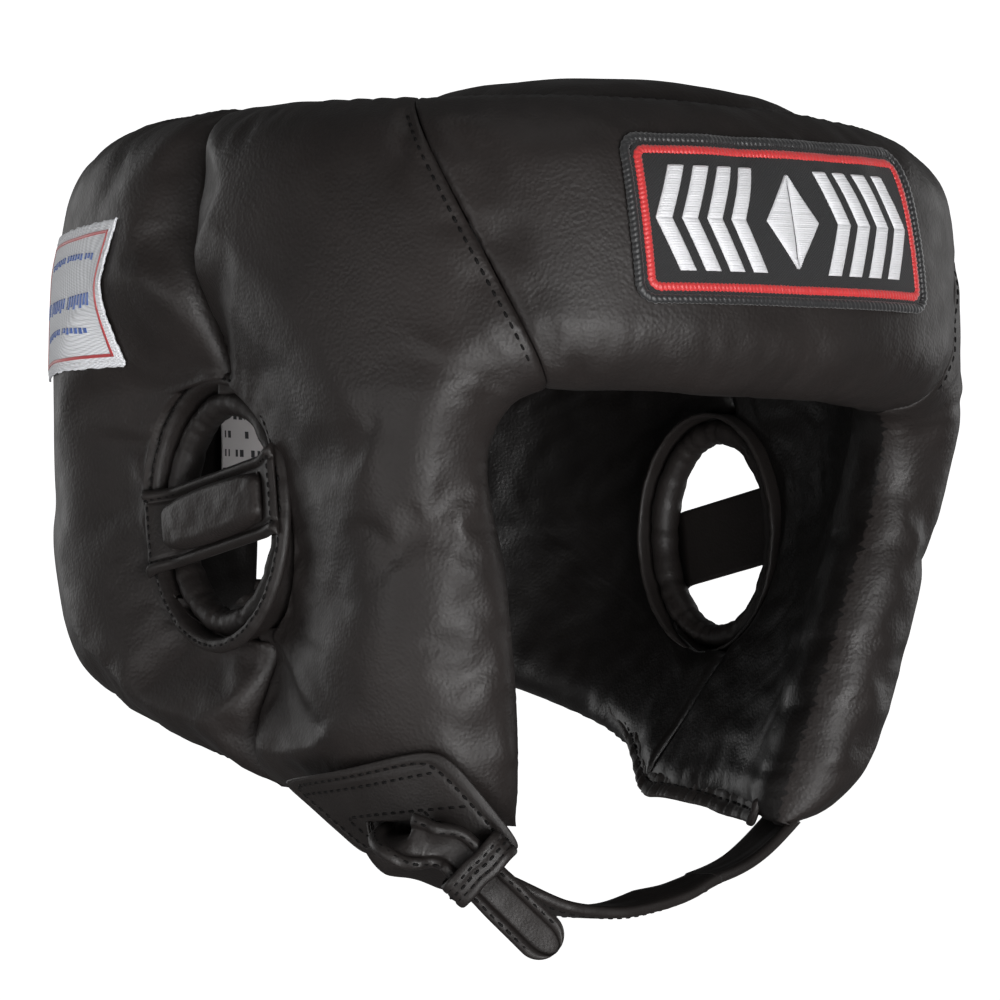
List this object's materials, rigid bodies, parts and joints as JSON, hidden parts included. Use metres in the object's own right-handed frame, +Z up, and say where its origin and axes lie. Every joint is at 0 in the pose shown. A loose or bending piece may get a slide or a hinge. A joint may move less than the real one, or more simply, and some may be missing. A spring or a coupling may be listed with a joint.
{
  "type": "boxing headgear",
  "caption": "Open-face padded leather boxing headgear with cheek pads, bridged ear openings, adjustable crown and rear closures and a slotted chin strap.",
  "frame": {"origin": "middle of the head cavity, 16 mm under the lower edge of the forehead pad, at the mount named head", "axes": "+Z up, -Y out of the face opening, +X towards the wearer's left"},
  "size_m": [0.2093, 0.2491, 0.226],
  "materials": {
    "cover_leather": "satin pebbled",
    "lining_leather": "smooth satin",
    "strap_leather": "smooth satin",
    "foam": "matte closed-cell foam",
    "hook_and_loop": "matte",
    "patch_twill": "matte twill with satin stitching",
    "woven_label": "woven satin"
  },
  "bodies": {
    "shell": {"forehead_cover": "cover_leather", "forehead_foam": "foam", "forehead_lining": "lining_leather", "right_side_cover": "cover_leather", "left_side_cover": "cover_leather", "right_side_foam": "foam", "left_side_foam": "foam", "right_side_lining": "lining_leather", "left_side_lining": "lining_leather", "right_back_cover": "cover_leather", "left_back_cover": "cover_leather", "right_back_foam": "foam", "left_back_foam": "foam", "right_back_lining": "lining_leather", "left_back_lining": "lining_leather", "right_lower_binding": "cover_leather", "left_lower_binding": "cover_leather", "right_ear_facing": "cover_leather", "left_ear_facing": "cover_leather", "right_ear_ring": "cover_leather", "left_ear_ring": "cover_leather", "right_ear_bridge": "cover_leather", "left_ear_bridge": "cover_leather", "right_ear_bridge_pad": "cover_leather", "left_ear_bridge_pad": "cover_leather", "crown_rear_cover": "cover_leather", "crown_rear_foam": "foam", "crown_rear_lining": "lining_leather", "crown_hook_tape": "hook_and_loop", "crown_tongue": "strap_leather", "rear_loop_tape": "hook_and_loop", "rear_strap_anchor": "strap_leather", "forehead_patch": "patch_twill", "size_label": "woven_label", "care_label": "woven_label", "chin_tab_backing": "strap_leather", "chin_tab": "strap_leather", "chin_strap": "strap_leather", "left_strap_anchor": "strap_leather"},
    "crown_flap": {"crown_front_cover": "cover_leather", "crown_front_foam": "foam", "crown_front_lining": "lining_leather", "crown_loop_tape": "hook_and_loop"},
    "rear_closure": {"rear_strap": "strap_leather", "rear_hook_tape": "hook_and_loop"},
    "strap_end": {"chin_strap_tail": "strap_leather"},
    "keeper": {"strap_keeper": "strap_leather"}
  },
  "joints": [
    {"name": "crown_flap_lift", "type": "hinge", "parent": "shell", "child": "crown_flap", "pos_m": [0, -0.084, 0.0945], "axis": [1, 0, 0], "range_deg": [0, 50]},
    {"name": "rear_strap_peel", "type": "hinge", "parent": "shell", "child": "rear_closure", "pos_m": [-0.0162, 0.1235, 0.018], "axis": [0, 0, 1], "range_deg": [0, 100]},
    {"name": "strap_end_pull", "type": "slide", "parent": "shell", "child": "strap_end", "axis": [0.6018, -0.3849, -0.6998], "range_m": [0, 0.006]},
    {"name": "keeper_slide", "type": "slide", "parent": "shell", "child": "keeper", "axis": [0.6018, -0.3849, -0.6998], "range_m": [0, 0.008]}
  ]
}
